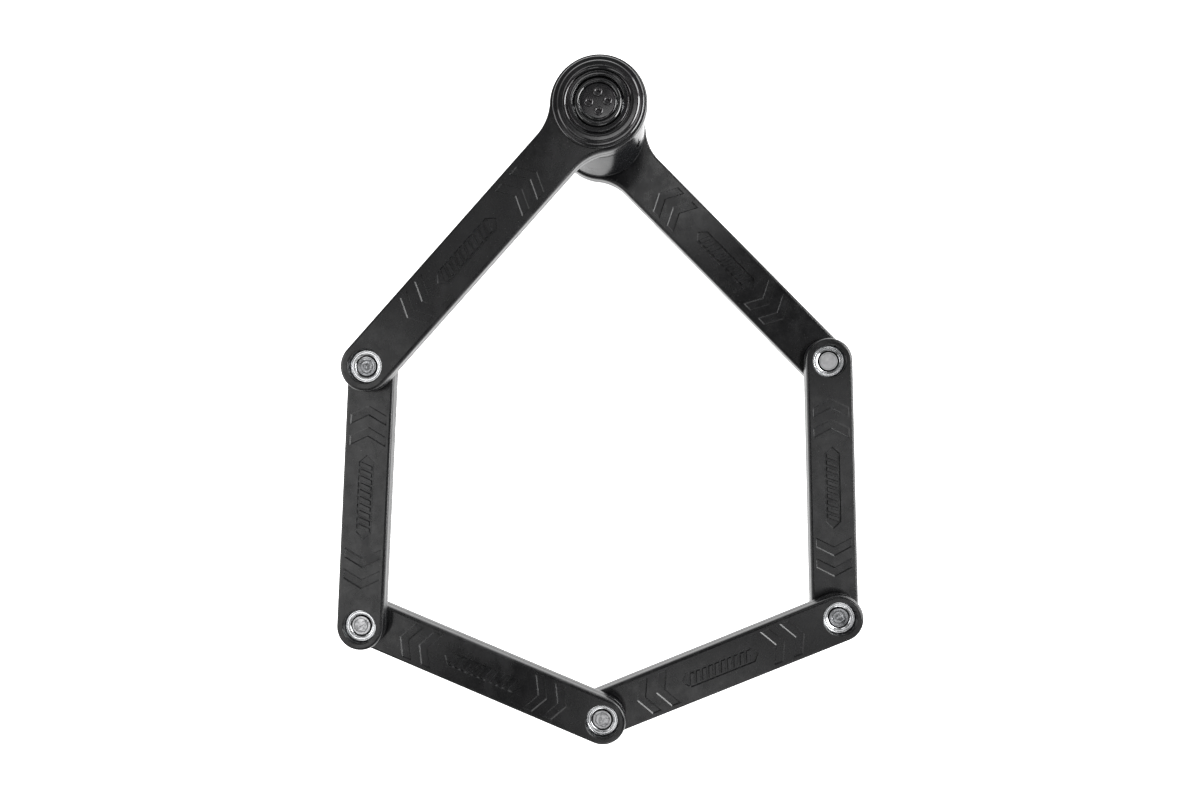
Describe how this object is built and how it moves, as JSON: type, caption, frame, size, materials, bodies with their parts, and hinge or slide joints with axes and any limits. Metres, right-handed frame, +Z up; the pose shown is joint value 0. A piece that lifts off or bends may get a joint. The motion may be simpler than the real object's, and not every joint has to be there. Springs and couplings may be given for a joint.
{
  "type": "folding bike lock",
  "caption": "Folding bicycle lock: flat covered steel links riveted end to end in a loop, closed by a stud held in a round keyed lock head.",
  "frame": {"origin": "middle of the bounding box, on the plane the lower arm and the head's base lie on", "axes": "+Z up through the stack of links, along the head's axis; +Y from the far rivet towards the lock head; the loop lies in the XY plane"},
  "size_m": [0.2619, 0.3348, 0.0466],
  "materials": {
    "cover": "satin black over-moulded cover",
    "steel_bar": "hardened flat steel",
    "bright_steel": "bright turned and peened steel",
    "gloss_black": "gloss black coated metal",
    "cap_black": "semi-gloss black cap",
    "brass": "machined brass",
    "fittings_steel": "machined steel"
  },
  "bodies": {
    "right_arm": {"right_arm_cover": "cover", "right_arm_bar": "steel_bar", "hinge_5_bottom_ferrule": "bright_steel", "hinge_5_spacer": "brass", "head_thrust_washer": "brass"},
    "head": {"head_housing": "gloss_black", "jaw_plate": "gloss_black", "jaw_screw_1": "fittings_steel", "jaw_screw_2": "fittings_steel", "detent_ball": "fittings_steel", "detent_spring": "fittings_steel", "detent_screw": "fittings_steel", "base_plate": "gloss_black", "base_screw_1": "fittings_steel", "base_screw_2": "fittings_steel", "base_screw_3": "fittings_steel"},
    "left_arm": {"left_arm_cover": "cover", "left_arm_bar": "steel_bar", "hinge_1_rivet": "bright_steel", "hinge_1_top_ferrule": "bright_steel", "eye_cap_ring": "cap_black", "eye_middle_ring": "cap_black", "eye_centre_disc": "cap_black", "cap_rivet_1": "cap_black", "cap_rivet_2": "cap_black", "cap_rivet_3": "cap_black", "cap_rivet_4": "cap_black", "locking_stud": "bright_steel"},
    "link_1": {"link_1_cover": "cover", "link_1_bar": "steel_bar", "hinge_2_rivet": "bright_steel", "hinge_2_top_ferrule": "bright_steel", "hinge_1_bottom_ferrule": "bright_steel", "hinge_1_spacer": "brass"},
    "link_2": {"link_2_cover": "cover", "link_2_bar": "steel_bar", "hinge_3_rivet": "bright_steel", "hinge_3_top_ferrule": "bright_steel", "hinge_2_bottom_ferrule": "bright_steel", "hinge_2_spacer": "brass"},
    "link_3": {"link_3_cover": "cover", "link_3_bar": "steel_bar", "hinge_4_rivet": "bright_steel", "hinge_4_top_ferrule": "bright_steel", "hinge_3_bottom_ferrule": "bright_steel", "hinge_3_spacer": "brass"},
    "link_4": {"link_4_cover": "cover", "link_4_bar": "steel_bar", "hinge_5_rivet": "bright_steel", "hinge_5_top_ferrule": "bright_steel", "hinge_4_bottom_ferrule": "bright_steel", "hinge_4_spacer": "brass"},
    "core": {"key_core": "brass", "locking_disc_1": "brass", "locking_disc_2": "brass", "locking_disc_3": "brass", "locking_disc_4": "brass", "core_side_bar": "fittings_steel", "core_end_plug": "brass"},
    "shutter": {"keyhole_shutter": "fittings_steel"}
  },
  "joints": [
    {"name": "head_swivel", "type": "hinge", "parent": "right_arm", "child": "head", "pos_m": [0.00092, 0.14421, 0.004], "axis": [0, 0, 1], "continuous": true},
    {"name": "hinge_5_fold", "type": "hinge", "parent": "right_arm", "child": "link_4", "pos_m": [0.1165, 0.02367, 0.0075], "axis": [0, 0, 1], "range_deg": [0, 222.6]},
    {"name": "hinge_4_fold", "type": "hinge", "parent": "link_4", "child": "link_3", "pos_m": [0.11921, -0.1053, 0.015], "axis": [0, 0, 1], "range_deg": [0, 248.22]},
    {"name": "hinge_3_fold", "type": "hinge", "parent": "link_3", "child": "link_2", "pos_m": [0.00044, -0.15566, 0.0225], "axis": [0, 0, 1], "range_deg": [0, 224.93]},
    {"name": "hinge_2_fold", "type": "hinge", "parent": "link_2", "child": "link_1", "pos_m": [-0.11921, -0.10743, 0.03], "axis": [0, 0, 1], "range_deg": [0, 251.15]},
    {"name": "hinge_1_fold", "type": "hinge", "parent": "link_1", "child": "left_arm", "pos_m": [-0.11223, 0.02138, 0.0375], "axis": [0, 0, 1], "range_deg": [0, 219.55]},
    {"name": "key_turn", "type": "hinge", "parent": "head", "child": "core", "pos_m": [0.00092, 0.14421, 0.015], "axis": [0, 0, 1], "range_deg": [0, 180]},
    {"name": "shutter_swing", "type": "hinge", "parent": "head", "child": "shutter", "pos_m": [0.00092, 0.15321, 0.0009], "axis": [0, 0, 1], "range_deg": [0, 68]}
  ]
}
